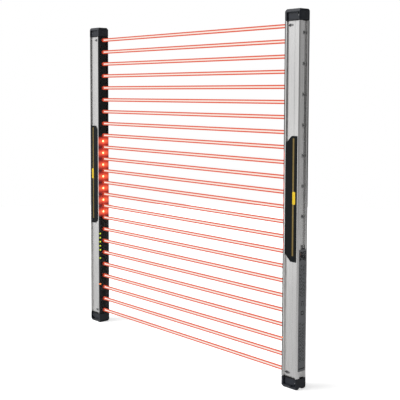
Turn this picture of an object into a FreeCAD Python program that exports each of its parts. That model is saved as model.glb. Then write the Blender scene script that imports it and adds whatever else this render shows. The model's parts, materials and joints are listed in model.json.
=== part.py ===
import FreeCAD, Part
import os
from math import cos, pi, sin, sqrt

# Safety light curtain: an emitter column and a receiver column that face each other.
# The frame stands on z = 0, the origin is midway between the two columns, +X runs from the
# emitter to the receiver and -Y is the side that carries the black side plates.
# Each column is drawn once in its own frame: u = 0 is the window face, u grows towards the
# rear, y = 0 is the optical plane. The receiver is shifted by half the field width and the
# emitter is its mirror image. All lengths are in millimetres.

# --- the protective field ------------------------------------------------------------------
BEAMS = 24
BEAM_PITCH = 20.0
BEAM_MARGIN = 21.0            # end of a column to its outermost beam
FIELD_WIDTH = 414.0           # window face to window face

# --- the column's outline ------------------------------------------------------------------
COLUMN_WIDTH = 20.4
COLUMN_DEPTH = 26.4
EDGE_BREAK = 0.6              # small chamfer on the two front edges
CROWN_SAG = 1.4               # how far the rear face falls away towards its sides
CROWN_LAND = 0.7              # flat strip beside the rear groove

# --- the extruded housing ------------------------------------------------------------------
WINDOW_LIP = 2.0              # thickness of the window where it shows on the column's side
FRONT_RAIL = 1.6
REAR_RAIL = 0.8               # straight part of the rear rail's side, before the crown
CHANNEL_DEPTH = 2.2           # flat channel along each side
SIDE_WALL = 1.4
REAR_GROOVE_WIDTH = 8.6
REAR_GROOVE_DEPTH = 2.2
REAR_WALL = 1.6
CORNER_BLOCK_DEPTH = 3.0      # the thick inner corners that hold the screw ports
CORNER_BLOCK_WIDTH = 2.4
SEAL_WIDTH = 1.2
SEAL_DEPTH = 1.0
SEAL_LAND = 1.1               # rail between the cavity and the seal's slot
SCRIBE_FROM_REAR = 8.0        # fine line along the side channel
SCRIBE_WIDTH = 0.5
SCRIBE_DEPTH = 0.2
GROOVE_LINE_OFFSET = 1.9      # two fine lines in the rear groove's floor

# --- end caps and gaskets ------------------------------------------------------------------
CAP_HEIGHT = 14.5
CAP_BEVEL_IN = 2.0
CAP_BEVEL_UP = 3.4
CAP_COLLAR = 1.0              # full-width band between the bevel and the side panels
GASKET_THICKNESS = 1.0
GASKET_INSET = 0.3
SPIGOT_LENGTH = 3.0
SPIGOT_WALL = 0.8
CAP_WEB = 3.0                 # floor that carries the cable socket
INLET_DEPTH = 6.5
CABLE_NOTCH_WIDTH = 7.4
CABLE_NOTCH_HEIGHT = 2.6
CLAW_SLOT_LENGTH = 4.6
CLAW_SLOT_HEIGHT = 2.0
CLAW_SLOT_DEPTH = 1.2
CLAW_SLOT_FROM_REAR = 8.0
BRACKET_HOLE_RADIUS = 2.0     # M4
BRACKET_HOLE_DEPTH = 8.0
BRACKET_HOLE_U = 5.6

# --- window and optics ---------------------------------------------------------------------
WINDOW_BAND_HALF = 5.8        # the sunk middle band of the window
WINDOW_BEVEL = 1.2
WINDOW_SINK = 1.0
WINDOW_THICKNESS = 2.0
MASK_THICKNESS = 0.4
MASK_SLIT = 6.0
LENS_PLATE = 1.2
LENS_BULGE = 1.0
LENS_SIDE_WALL = 1.4
FRAME_DEPTH = 8.4
TUNNEL_END_RADIUS = 2.1
BOARD_THICKNESS = 1.2
DIODE_SIZE = 2.2
DIODE_HEIGHT = 1.6
PHOTODIODE_SIZE = 2.4
PHOTODIODE_HEIGHT = 1.1

# --- lamps ---------------------------------------------------------------------------------
INDICATORS = 7
INDICATOR_RADIUS = 1.5
STATUS_LAMP_SIZE = 2.0
STATUS_LAMP_REACH = 2.8
STATUS_LAMP_PITCH = 7.0
STATUS_LAMP_BASE = 111.8
GREEN_SLOTS = (0, 2, 3, 4, 5, 6)
DARK_SLOTS = (-2, 7)
AMBER_LAMP_HEIGHT = 67.0
LOW_LAMP_HEIGHT = 37.5

# --- boards, carrier and connector ---------------------------------------------------------
CARRIER_WALL = 1.1
CARRIER_FLANGE = 1.2
CARRIER_BASE = 1.6
CONTROL_BOARD_LENGTH = 176.0
HEADERS = 3
HEADER_PITCH = 60.0
HEADER_LENGTH = 12.0
HEADER_WIDTH = 4.0
CHIPS = 4
CHIP_PITCH = 36.0
CHIP_LENGTH = 14.0
CHIP_WIDTH = 4.6
CHIP_HEIGHT = 1.0
SOCKET_FROM_REAR = 11.0
SOCKET_RADIUS = 4.8
SOCKET_WALL = 0.8
SOCKET_FLANGE = 0.9
SOCKET_FLANGE_HEIGHT = 1.0
PINS = 8
PIN_RADIUS = 0.4
PIN_CIRCLE = 2.5
PIN_TAIL = 2.0
RIBBON_WIDTH = 5.0
RIBBON_THICKNESS = 0.3
RIBBON_RISE = 1.0             # its straight start above the pins
RIBBON_OVERLAP = 12.0

# --- plates and labels ---------------------------------------------------------------------
SIDE_PLATE_LENGTH = 166.0
SIDE_PLATE_RAISE = 3.0        # its middle above the column's middle
SIDE_PLATE_CORNER = 10.0
SIDE_PLATE_SINK = 0.2
LABEL_BOTTOM = 25.0
LABEL_LENGTH = 163.0
LABEL_WIDTH = 14.4
LABEL_THICKNESS = 0.2

# --- screws --------------------------------------------------------------------------------
CAP_SCREW_RADIUS = 0.85       # M2 in a port of its thread's core size
CAP_SCREW_HEAD_RADIUS = 1.9
CAP_SCREW_HEAD_HEIGHT = 2.0
CAP_SCREW_GRIP = 5.0
CAP_SCREW_BITE = 6.0
HEX_ACROSS = 1.5
HEX_DEPTH = 1.0
REAR_SCREW_RADIUS = 1.25
REAR_SCREW_HEAD_RADIUS = 2.5
REAR_SCREW_HEAD_HEIGHT = 1.4
BEAMS_PER_REAR_SCREW = 2

# --- facets --------------------------------------------------------------------------------
# Small round holes and rods come in dozens, mostly out of sight, so they are drawn as prisms.
HIDDEN_SIDES = 6
SHOWN_SIDES = 10
PIN_SIDES = 4
LENS_CROWN = 0.5              # the flat middle of a lens's back, as a share of its radius

# --- clearances ----------------------------------------------------------------------------
SLIP = 0.2                    # between a piece and the cavity or channel it slides into
HOLE_CLEARANCE = 0.2          # round a screw, socket, lamp or pin

# --- worked out ----------------------------------------------------------------------------
COLUMN_HEIGHT = (BEAMS - 1) * BEAM_PITCH + 2 * BEAM_MARGIN
HALF_WIDTH = COLUMN_WIDTH / 2
CHANNEL_FLOOR = HALF_WIDTH - CHANNEL_DEPTH
CAVITY_HALF = CHANNEL_FLOOR - SIDE_WALL
CHANNEL_START = WINDOW_LIP + FRONT_RAIL
CHANNEL_END = COLUMN_DEPTH - CROWN_SAG - REAR_RAIL
GROOVE_HALF = REAR_GROOVE_WIDTH / 2
GROOVE_FLOOR = COLUMN_DEPTH - REAR_GROOVE_DEPTH
CAVITY_REAR = GROOVE_FLOOR - REAR_WALL
BLOCK_FRONT = CAVITY_REAR - CORNER_BLOCK_DEPTH
BLOCK_INNER = CAVITY_HALF - CORNER_BLOCK_WIDTH
CROWN_START = GROOVE_HALF + CROWN_LAND
CROWN_RADIUS = ((HALF_WIDTH - CROWN_START) ** 2 + CROWN_SAG ** 2) / (2 * CROWN_SAG)
CROWN_CENTRE = COLUMN_DEPTH - CROWN_RADIUS
PORT_U = (BLOCK_FRONT + CAVITY_REAR) / 2 + 0.15 * CORNER_BLOCK_DEPTH
PORT_Y = (BLOCK_INNER + CHANNEL_FLOOR) / 2

HOUSING_BOTTOM = CAP_HEIGHT + GASKET_THICKNESS
HOUSING_TOP = COLUMN_HEIGHT - HOUSING_BOTTOM
HOUSING_LENGTH = HOUSING_TOP - HOUSING_BOTTOM

WINDOW_BACK = WINDOW_SINK + WINDOW_THICKNESS
MASK_BACK = WINDOW_BACK + MASK_THICKNESS
LENS_BACK = MASK_BACK + LENS_PLATE
FRAME_BACK = LENS_BACK + FRAME_DEPTH
BOARD_BACK = FRAME_BACK + BOARD_THICKNESS
INSERT_HALF = CAVITY_HALF - SLIP
LENS_RADIUS = INSERT_HALF - LENS_SIDE_WALL
FLANGE_BACK = BLOCK_FRONT - SLIP
FLANGE_FRONT = FLANGE_BACK - CARRIER_FLANGE
CONTROL_BOARD_FRONT = FLANGE_FRONT - BOARD_THICKNESS
CARRIER_HALF = BLOCK_INNER - SLIP
BASE_FRONT = CAVITY_REAR - CARRIER_BASE
CONTROL_BOARD_HALF = INSERT_HALF - CARRIER_WALL - SLIP

SPIGOT_FRONT = BOARD_BACK + SLIP
SPIGOT_BACK = BLOCK_FRONT - SLIP
POCKET_FLOOR = INLET_DEPTH + CAP_WEB
SOCKET_U = COLUMN_DEPTH - SOCKET_FROM_REAR
INLET_RADIUS = SOCKET_RADIUS + HOLE_CLEARANCE
CARRIER_BOTTOM = HOUSING_BOTTOM + SPIGOT_LENGTH + SLIP
CARRIER_TOP = HOUSING_TOP - SPIGOT_LENGTH - SLIP
COLLAR_HEIGHT = CAP_BEVEL_UP + CAP_COLLAR

BEAM_HEIGHTS = [BEAM_MARGIN + BEAM_PITCH * i for i in range(BEAMS)]
INDICATOR_HEIGHTS = [COLUMN_HEIGHT / 2 + BEAM_PITCH * (i - (INDICATORS - 1) / 2)
                     for i in range(INDICATORS)]
REAR_SCREW_HEIGHTS = [z + BEAM_PITCH / 2 for z in BEAM_HEIGHTS[:-1:BEAMS_PER_REAR_SCREW]]
GREEN_HEIGHTS = [STATUS_LAMP_BASE + STATUS_LAMP_PITCH * slot for slot in GREEN_SLOTS]
DARK_HEIGHTS = [STATUS_LAMP_BASE + STATUS_LAMP_PITCH * slot for slot in DARK_SLOTS]
DARK_HEIGHTS.append(LOW_LAMP_HEIGHT)

UP = FreeCAD.Vector(0, 0, 1)
BACK = FreeCAD.Vector(1, 0, 0)
FRONT = FreeCAD.Vector(-1, 0, 0)


# --- helpers -------------------------------------------------------------------------------
def point(u, y, z=0.0):
    return FreeCAD.Vector(u, y, z)


def mirrored(half):
    """A closed outline's points from those of its +y half, listed in order."""
    return half + [(u, -y) for u, y in reversed(half)]


def prism(points, bottom, top):
    """A straight prism over a closed outline of (u, y) points."""
    corners = [point(u, y, bottom) for u, y in points]
    face = Part.Face(Part.makePolygon(corners + corners[:1]))
    return face.extrude(UP * (top - bottom))


def block(u0, u1, y0, y1, z0, z1):
    return Part.makeBox(u1 - u0, y1 - y0, z1 - z0, point(u0, y0, z0))


def upright(radius, u, y, bottom, top):
    return Part.makeCylinder(radius, top - bottom, point(u, y, bottom), UP)


def facet_ring(radius, sides):
    """Corners of a regular polygon, as offsets from its centre."""
    turns = [2 * pi * (i + 0.5) / sides for i in range(sides)]
    return [(radius * cos(turn), radius * sin(turn)) for turn in turns]


def post(radius, u, y, bottom, top, sides=HIDDEN_SIDES):
    """A faceted round bar that stands upright."""
    return prism([(u + a, y + b) for a, b in facet_ring(radius, sides)], bottom, top)


def flat_face(corners):
    return Part.Face(Part.makePolygon(corners + corners[:1]))


def faceted(near, far):
    """A solid between two rings of corners, with flat flanks."""
    flanks = [flat_face([near[i - 1], near[i], far[i], far[i - 1]]) for i in range(len(near))]
    shell = Part.makeShell([flat_face(near), flat_face(far)] + flanks)
    return Part.makeSolid(shell)


def tapered(radius0, u0, radius1, u1, z, sides=HIDDEN_SIDES):
    """A faceted cone that runs along the depth of the column."""
    near = [point(u0, a, z + b) for a, b in facet_ring(radius0, sides)]
    far = [point(u1, a, z + b) for a, b in facet_ring(radius1, sides)]
    return faceted(near, far)


def rod(radius, u0, u1, z, sides=HIDDEN_SIDES):
    """A faceted round bar that runs along the depth of the column."""
    return tapered(radius, u0, radius, u1, z, sides)


def without(solid, tools):
    return solid.cut(Part.makeCompound(tools)) if tools else solid


# --- the column's outline ------------------------------------------------------------------
def crown_edge_u(inset):
    """Depth of the rear edge where the crown meets the side, for an inset outline."""
    reach = HALF_WIDTH - inset - CROWN_START
    return CROWN_CENTRE + sqrt((CROWN_RADIUS - inset) ** 2 - reach ** 2)


def crown_middle(inset):
    """A point halfway along the crown's arc."""
    y = (CROWN_START + HALF_WIDTH - inset) / 2
    return CROWN_CENTRE + sqrt((CROWN_RADIUS - inset) ** 2 - (y - CROWN_START) ** 2), y


def crown_arc(inset, z, side):
    """The rear arc on one side, from the side face to the flat land."""
    side_end = point(crown_edge_u(inset), side * (HALF_WIDTH - inset), z)
    u, y = crown_middle(inset)
    land_end = point(COLUMN_DEPTH - inset, side * CROWN_START, z)
    return Part.Arc(side_end, point(u, side * y, z), land_end).toShape()


def wire_through(paths, z):
    """One closed wire from stretches of points and ready-made arcs."""
    edges = []
    for path in paths:
        if isinstance(path, list):
            corners = [point(u, y, z) for u, y in path]
            edges += Part.makePolygon(corners).Edges
        else:
            edges.append(path)
    return Part.Wire(Part.__sortEdges__(edges))


def side_points(inset, with_channel):
    """The +y side of the outline, from the front face to the crown."""
    half = HALF_WIDTH - inset
    points = [(inset, half - EDGE_BREAK), (inset + EDGE_BREAK, half)]
    if with_channel:
        points += [(CHANNEL_START, half), (CHANNEL_START, CHANNEL_FLOOR),
                   (CHANNEL_END, CHANNEL_FLOOR), (CHANNEL_END, half)]
    return points + [(crown_edge_u(inset), half)]


def column_wire(inset, z, with_channel=False):
    """The whole outline of the column, with or without its side channels."""
    near = side_points(inset, with_channel)
    far = [(u, -y) for u, y in near]
    land = [(COLUMN_DEPTH - inset, CROWN_START), (COLUMN_DEPTH - inset, -CROWN_START)]
    front = [near[0], far[0]]
    return wire_through([near, crown_arc(inset, z, 1), land, crown_arc(inset, z, -1),
                         far, front], z)


def slab(inset, bottom, top, with_channel=False):
    face = Part.Face(column_wire(inset, bottom, with_channel))
    return face.extrude(UP * (top - bottom))


# --- housing -------------------------------------------------------------------------------
def seal_range():
    inner = CAVITY_HALF + SEAL_LAND
    return inner, inner + SEAL_WIDTH


def housing_wire(z):
    """The C-shaped section of the extrusion: open at the window, closed at the rear."""
    seal_inner, seal_outer = seal_range()
    seal_floor = WINDOW_LIP + SEAL_DEPTH
    scribe = CHANNEL_END - SCRIBE_FROM_REAR
    outer = [(WINDOW_LIP, CAVITY_HALF),
             (WINDOW_LIP, seal_inner), (seal_floor, seal_inner),
             (seal_floor, seal_outer), (WINDOW_LIP, seal_outer),
             (WINDOW_LIP, HALF_WIDTH), (CHANNEL_START, HALF_WIDTH),
             (CHANNEL_START, CHANNEL_FLOOR),
             (scribe - SCRIBE_WIDTH / 2, CHANNEL_FLOOR),
             (scribe, CHANNEL_FLOOR - SCRIBE_DEPTH),
             (scribe + SCRIBE_WIDTH / 2, CHANNEL_FLOOR),
             (CHANNEL_END, CHANNEL_FLOOR), (CHANNEL_END, HALF_WIDTH),
             (crown_edge_u(0), HALF_WIDTH)]
    groove = mirrored([(COLUMN_DEPTH, CROWN_START), (COLUMN_DEPTH, GROOVE_HALF),
                       (GROOVE_FLOOR, GROOVE_HALF),
                       (GROOVE_FLOOR, GROOVE_LINE_OFFSET + SCRIBE_WIDTH / 2),
                       (GROOVE_FLOOR - SCRIBE_DEPTH, GROOVE_LINE_OFFSET),
                       (GROOVE_FLOOR, GROOVE_LINE_OFFSET - SCRIBE_WIDTH / 2)])
    cavity = mirrored([(WINDOW_LIP, CAVITY_HALF), (BLOCK_FRONT, CAVITY_HALF),
                       (BLOCK_FRONT, BLOCK_INNER), (CAVITY_REAR, BLOCK_INNER)])
    far = [(u, -y) for u, y in outer]
    return wire_through([outer, crown_arc(0, z, 1), groove, crown_arc(0, z, -1),
                         far, cavity], z)


def housing():
    body = Part.Face(housing_wire(HOUSING_BOTTOM)).extrude(UP * HOUSING_LENGTH)
    ports = [post(CAP_SCREW_RADIUS, PORT_U, side * PORT_Y, HOUSING_BOTTOM, HOUSING_TOP)
             for side in (-1, 1)]
    hole = REAR_SCREW_RADIUS + HOLE_CLEARANCE
    holes = [rod(hole, CAVITY_REAR, GROOVE_FLOOR, z) for z in REAR_SCREW_HEIGHTS]
    return without(body, ports + holes)


# --- window, seals and gaskets -------------------------------------------------------------
def status_lamp(z):
    """A small light block let into the near edge of the window."""
    half = STATUS_LAMP_SIZE / 2
    return block(EDGE_BREAK, WINDOW_LIP - SLIP, -HALF_WIDTH, STATUS_LAMP_REACH - HALF_WIDTH,
                 z - half, z + half)


def window():
    """The front panel: bevelled lips at both sides of a sunk band, and a tongue behind it."""
    tongue = CAVITY_HALF - SLIP
    outline = mirrored([(WINDOW_SINK, WINDOW_BAND_HALF), (0, WINDOW_BAND_HALF + WINDOW_BEVEL),
                        (0, HALF_WIDTH - EDGE_BREAK), (EDGE_BREAK, HALF_WIDTH),
                        (WINDOW_LIP, HALF_WIDTH), (WINDOW_LIP, tongue),
                        (WINDOW_BACK, tongue)])
    panel = prism(outline, HOUSING_BOTTOM, HOUSING_TOP)
    lamps = GREEN_HEIGHTS + DARK_HEIGHTS + [AMBER_LAMP_HEIGHT]
    return without(panel, [status_lamp(z) for z in lamps])


def window_seals():
    inner, outer = seal_range()
    seals = [block(WINDOW_LIP, WINDOW_LIP + SEAL_DEPTH, side * (inner + outer) / 2 - SEAL_WIDTH / 2,
                   side * (inner + outer) / 2 + SEAL_WIDTH / 2, HOUSING_BOTTOM, HOUSING_TOP)
             for side in (-1, 1)]
    return Part.makeCompound(seals)


def gasket(bottom):
    top = bottom + GASKET_THICKNESS
    plate = slab(GASKET_INSET, bottom, top)
    opening = block(SPIGOT_FRONT - SLIP, SPIGOT_BACK + SLIP, -CAVITY_HALF, CAVITY_HALF, bottom, top)
    hole = CAP_SCREW_RADIUS + HOLE_CLEARANCE
    holes = [post(hole, PORT_U, side * PORT_Y, bottom, top) for side in (-1, 1)]
    return without(plate, [opening] + holes)


# --- end caps ------------------------------------------------------------------------------
def bevelled_end():
    """The column's outline cut by four sloping planes, from the end up to the collar."""
    rings = []
    for inset, z in ((CAP_BEVEL_IN, 0), (0, CAP_BEVEL_UP)):
        front, back, side = inset, COLUMN_DEPTH - inset, HALF_WIDTH - inset
        rings.append([point(front, -side, z), point(back, -side, z),
                      point(back, side, z), point(front, side, z)])
    slopes = faceted(rings[0], rings[1])
    return slab(0, 0, CAP_BEVEL_UP).common(slopes)


def plain_cap():
    """A cap that stands on its bevelled end: bevel, collar, panelled body and spigot."""
    bevel = bevelled_end()
    collar = slab(0, CAP_BEVEL_UP, COLLAR_HEIGHT)
    body = slab(0, COLLAR_HEIGHT, CAP_HEIGHT, with_channel=True)
    spigot_top = HOUSING_BOTTOM + SPIGOT_LENGTH
    spigot = block(SPIGOT_FRONT, SPIGOT_BACK, SLIP - CAVITY_HALF, CAVITY_HALF - SLIP,
                   CAP_HEIGHT, spigot_top)
    solid = bevel.fuse([collar, body, spigot]).removeSplitter()
    inner = CAVITY_HALF - SLIP - SPIGOT_WALL
    hollow = block(SPIGOT_FRONT + SPIGOT_WALL, SPIGOT_BACK - SPIGOT_WALL, -inner, inner,
                   POCKET_FLOOR, spigot_top)
    bracket_hole = upright(BRACKET_HOLE_RADIUS, BRACKET_HOLE_U, 0, 0, BRACKET_HOLE_DEPTH)
    return without(solid, [hollow, bracket_hole] + cap_screw_holes())


def cap_screw_holes():
    """Through holes and deep counterbores of the two cap screws."""
    holes = []
    for side in (-1, 1):
        y = side * PORT_Y
        holes.append(post(CAP_SCREW_RADIUS + HOLE_CLEARANCE, PORT_U, y, 0, CAP_HEIGHT))
        holes.append(post(CAP_SCREW_HEAD_RADIUS + HOLE_CLEARANCE, PORT_U, y, 0,
                          CAP_HEIGHT - CAP_SCREW_GRIP, SHOWN_SIDES))
    return holes


def turned_over(shape):
    """The same piece for the top end of the column, mirrored at mid-height."""
    return shape.mirror(point(0, 0, COLUMN_HEIGHT / 2), UP)


def bottom_cap():
    """The plain cap with its cable inlet, cable notch and claw slots."""
    inlet = upright(INLET_RADIUS, SOCKET_U, 0, 0, INLET_DEPTH)
    passage = post(SOCKET_RADIUS - SOCKET_WALL, SOCKET_U, 0, INLET_DEPTH, POCKET_FLOOR,
                   SHOWN_SIDES)
    pocket_radius = SOCKET_RADIUS + SOCKET_FLANGE + HOLE_CLEARANCE
    pocket = post(pocket_radius, SOCKET_U, 0, POCKET_FLOOR, CAP_HEIGHT, SHOWN_SIDES)
    notch = block(SOCKET_U, COLUMN_DEPTH, -CABLE_NOTCH_WIDTH / 2, CABLE_NOTCH_WIDTH / 2,
                  0, CABLE_NOTCH_HEIGHT)
    slots = []
    for side in (-1, 1):
        start = CHANNEL_END - CLAW_SLOT_FROM_REAR
        near = CHANNEL_FLOOR - CLAW_SLOT_DEPTH
        y0, y1 = sorted((side * near, side * HALF_WIDTH))
        slots.append(block(start, start + CLAW_SLOT_LENGTH, y0, y1,
                           COLLAR_HEIGHT - CLAW_SLOT_HEIGHT / 2,
                           COLLAR_HEIGHT + CLAW_SLOT_HEIGHT / 2))
    return without(plain_cap(), [inlet, passage, pocket, notch] + slots)


# --- optics --------------------------------------------------------------------------------
def insert_bar(u0, u1, half):
    """A bar that fills the housing's cavity from end to end."""
    return block(u0, u1, -half, half, HOUSING_BOTTOM, HOUSING_TOP)


def slit(half, z):
    """A square opening through the mask."""
    return block(WINDOW_BACK, MASK_BACK, -half, half, z - half, z + half)


def slit_mask():
    plate = insert_bar(WINDOW_BACK, MASK_BACK, INSERT_HALF)
    slits = [slit(MASK_SLIT / 2, z) for z in BEAM_HEIGHTS]
    slits += [slit(INDICATOR_RADIUS, z) for z in INDICATOR_HEIGHTS]
    return without(plate, slits)


def lens_bulge(z):
    """The convex back of one lens, which stands on the lens plate."""
    return tapered(LENS_RADIUS, LENS_BACK, LENS_RADIUS * LENS_CROWN, LENS_BACK + LENS_BULGE, z)


def lens_strip():
    plate = insert_bar(MASK_BACK, LENS_BACK, INSERT_HALF)
    return plate.fuse([lens_bulge(z) for z in BEAM_HEIGHTS])


def lens_frame():
    """The optical block: one tapered light tunnel to each lens and a bore to each lamp."""
    bar = insert_bar(LENS_BACK, FRAME_BACK, INSERT_HALF)
    mouth = LENS_RADIUS + HOLE_CLEARANCE
    tunnels = [tapered(mouth, LENS_BACK, TUNNEL_END_RADIUS, FRAME_BACK, z)
               for z in BEAM_HEIGHTS]
    bores = [rod(INDICATOR_RADIUS + HOLE_CLEARANCE, LENS_BACK, FRAME_BACK, z)
             for z in INDICATOR_HEIGHTS]
    return without(bar, tunnels + bores)


def indicator_lamps():
    lamps = [rod(INDICATOR_RADIUS, LENS_BACK + SLIP, FRAME_BACK, z) for z in INDICATOR_HEIGHTS]
    return Part.makeCompound(lamps)


def optics_board():
    return insert_bar(FRAME_BACK, BOARD_BACK, INSERT_HALF)


def tunnel_end_chips(size, height):
    """Square packages on the optics board, one at the end of each tunnel."""
    half = size / 2
    return Part.makeCompound([block(FRAME_BACK - height, FRAME_BACK, -half, half,
                                    z - half, z + half) for z in BEAM_HEIGHTS])


# --- boards and their carrier --------------------------------------------------------------
def board_carrier():
    """A hat-shaped rail: side walls on the optics board, flanges, and a base at the rear."""
    wall_inner = INSERT_HALF - CARRIER_WALL
    leg_inner = CARRIER_HALF - CARRIER_WALL
    outer = [(BOARD_BACK, wall_inner), (BOARD_BACK, INSERT_HALF), (FLANGE_BACK, INSERT_HALF),
             (FLANGE_BACK, CARRIER_HALF), (CAVITY_REAR, CARRIER_HALF)]
    inner = [(BASE_FRONT, leg_inner), (FLANGE_FRONT, leg_inner), (FLANGE_FRONT, wall_inner)]
    points = outer + [(u, -y) for u, y in reversed(outer)]
    points += [(u, -y) for u, y in reversed(inner)] + inner
    rail = prism(points, CARRIER_BOTTOM, CARRIER_TOP)
    holes = [rod(REAR_SCREW_RADIUS, BASE_FRONT, CAVITY_REAR, z) for z in REAR_SCREW_HEIGHTS]
    return without(rail, holes)


def control_board():
    return block(CONTROL_BOARD_FRONT, FLANGE_FRONT, -CONTROL_BOARD_HALF, CONTROL_BOARD_HALF,
                 CARRIER_BOTTOM, CARRIER_BOTTOM + CONTROL_BOARD_LENGTH)


def spread(count, pitch):
    """Heights of a row that is centred on the control board."""
    middle = CARRIER_BOTTOM + CONTROL_BOARD_LENGTH / 2
    return [middle + pitch * (i - (count - 1) / 2) for i in range(count)]


def board_headers():
    half = HEADER_WIDTH / 2
    return Part.makeCompound([block(BOARD_BACK, CONTROL_BOARD_FRONT, -half, half,
                                    z - HEADER_LENGTH / 2, z + HEADER_LENGTH / 2)
                              for z in spread(HEADERS, HEADER_PITCH)])


def board_chips():
    half = CHIP_WIDTH / 2
    return Part.makeCompound([block(FLANGE_FRONT, FLANGE_FRONT + CHIP_HEIGHT, -half, half,
                                    z - CHIP_LENGTH / 2, z + CHIP_LENGTH / 2)
                              for z in spread(CHIPS, CHIP_PITCH)])


# --- cable socket --------------------------------------------------------------------------
def cable_socket():
    """A round socket on the cap's web, with its open mouth downwards."""
    flange = post(SOCKET_RADIUS + SOCKET_FLANGE, SOCKET_U, 0, POCKET_FLOOR,
                  POCKET_FLOOR + SOCKET_FLANGE_HEIGHT, SHOWN_SIDES)
    barrel = post(SOCKET_RADIUS - SOCKET_WALL - HOLE_CLEARANCE, SOCKET_U, 0, INLET_DEPTH,
                  POCKET_FLOOR, SHOWN_SIDES)
    solid = flange.fuse(barrel)
    return without(solid, [pin_at(i) for i in range(PINS)])


def pin_at(index):
    """One contact pin on the pin circle."""
    spin = FreeCAD.Rotation(UP, 360.0 * index / PINS)
    place = spin.multVec(point(PIN_CIRCLE, 0)) + point(SOCKET_U, 0)
    return post(PIN_RADIUS, place.x, place.y, INLET_DEPTH - PIN_TAIL,
                POCKET_FLOOR + SOCKET_FLANGE_HEIGHT + PIN_TAIL, PIN_SIDES)


def socket_pins():
    return Part.makeCompound([pin_at(i) for i in range(PINS)])


def ribbon():
    """The flat cable from the socket's pins up to the rear face of the control board."""
    start = SOCKET_U
    end = FLANGE_FRONT
    low = POCKET_FLOOR + SOCKET_FLANGE_HEIGHT + PIN_TAIL
    path = [(start, low), (start, low + RIBBON_RISE), (end, CAP_HEIGHT + GASKET_THICKNESS),
            (end, CARRIER_BOTTOM + RIBBON_OVERLAP)]
    front = [point(u, -RIBBON_WIDTH / 2, z) for u, z in path]
    back = [corner + BACK * RIBBON_THICKNESS for corner in reversed(front)]
    face = Part.Face(Part.makePolygon(front + back + front[:1]))
    return face.extrude(point(0, RIBBON_WIDTH))


# --- plates and labels ---------------------------------------------------------------------
def side_plate():
    """The black plate in the -y channel, with its window-side corners cut off."""
    u0 = CHANNEL_START + SLIP
    u1 = CHANNEL_END - SLIP
    middle = COLUMN_HEIGHT / 2 + SIDE_PLATE_RAISE
    z0 = middle - SIDE_PLATE_LENGTH / 2
    z1 = middle + SIDE_PLATE_LENGTH / 2
    cut = SIDE_PLATE_CORNER
    outline = [(u0, z0 + cut), (u0 + cut, z0), (u1, z0), (u1, z1), (u0 + cut, z1), (u0, z1 - cut)]
    corners = [point(u, -CHANNEL_FLOOR, z) for u, z in outline]
    face = Part.Face(Part.makePolygon(corners + corners[:1]))
    return face.extrude(point(0, SIDE_PLATE_SINK - CHANNEL_DEPTH))


def crown_u(y, lift=0.0):
    """Depth of the rear face at a place across it, raised by a lift."""
    if abs(y) <= CROWN_START:
        return COLUMN_DEPTH + lift
    return CROWN_CENTRE + sqrt((CROWN_RADIUS + lift) ** 2 - (abs(y) - CROWN_START) ** 2)


def rear_label():
    """A thin plate that follows the crown and bridges the rear groove."""
    edge = LABEL_WIDTH / 2
    middle = (CROWN_START + edge) / 2
    z = LABEL_BOTTOM
    paths = []
    for lift in (0.0, LABEL_THICKNESS):
        land = COLUMN_DEPTH + lift
        paths.append([(land, CROWN_START), (land, -CROWN_START)])
        for side in (-1, 1):
            paths.append(Part.Arc(point(crown_u(edge, lift), side * edge, z),
                                  point(crown_u(middle, lift), side * middle, z),
                                  point(land, side * CROWN_START, z)).toShape())
    for side in (-1, 1):
        paths.append([(crown_u(edge), side * edge),
                      (crown_u(edge, LABEL_THICKNESS), side * edge)])
    return Part.Face(wire_through(paths, z)).extrude(UP * LABEL_LENGTH)


# --- screws --------------------------------------------------------------------------------
def cap_screw(side):
    """A socket-head screw in the bottom cap, head down."""
    seat = CAP_HEIGHT - CAP_SCREW_GRIP
    y = side * PORT_Y
    low = seat - CAP_SCREW_HEAD_HEIGHT
    head = post(CAP_SCREW_HEAD_RADIUS, PORT_U, y, low, seat, SHOWN_SIDES)
    shank = post(CAP_SCREW_RADIUS, PORT_U, y, seat, HOUSING_BOTTOM + CAP_SCREW_BITE)
    drive = post(HEX_ACROSS / sqrt(3), PORT_U, y, low, low + HEX_DEPTH, 6)
    return head.fuse(shank).cut(drive)


def cap_screws():
    lower = [cap_screw(side) for side in (-1, 1)]
    return Part.makeCompound(lower + [turned_over(screw) for screw in lower])


def rear_screw(z):
    """A low-head screw in the rear groove, which holds the board carrier."""
    head = rod(REAR_SCREW_HEAD_RADIUS, GROOVE_FLOOR, GROOVE_FLOOR + REAR_SCREW_HEAD_HEIGHT, z,
               SHOWN_SIDES)
    shank = rod(REAR_SCREW_RADIUS, BASE_FRONT, GROOVE_FLOOR, z)
    return head.fuse(shank)


def rear_screws():
    return Part.makeCompound([rear_screw(z) for z in REAR_SCREW_HEIGHTS])


def lamp_group(heights):
    return Part.makeCompound([status_lamp(z) for z in heights])


# --- the two columns -----------------------------------------------------------------------
def common_pieces():
    """The pieces that both columns have, by name."""
    return {
        "housing": housing(),
        "window": window(),
        "window_seals": window_seals(),
        "top_cap": turned_over(plain_cap()),
        "bottom_cap": bottom_cap(),
        "top_gasket": gasket(HOUSING_TOP),
        "bottom_gasket": gasket(CAP_HEIGHT),
        "cap_screws": cap_screws(),
        "rear_screws": rear_screws(),
        "side_plate": side_plate(),
        "slit_mask": slit_mask(),
        "lens_strip": lens_strip(),
        "lens_frame": lens_frame(),
        "optics_board": optics_board(),
        "indicator_lamps": indicator_lamps(),
        "green_lamps": lamp_group(GREEN_HEIGHTS),
        "amber_lamp": status_lamp(AMBER_LAMP_HEIGHT),
        "unlit_lamps": lamp_group(DARK_HEIGHTS),
        "board_carrier": board_carrier(),
        "control_board": control_board(),
        "board_headers": board_headers(),
        "board_chips": board_chips(),
        "cable_socket": cable_socket(),
        "socket_pins": socket_pins(),
        "ribbon": ribbon(),
    }


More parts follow.
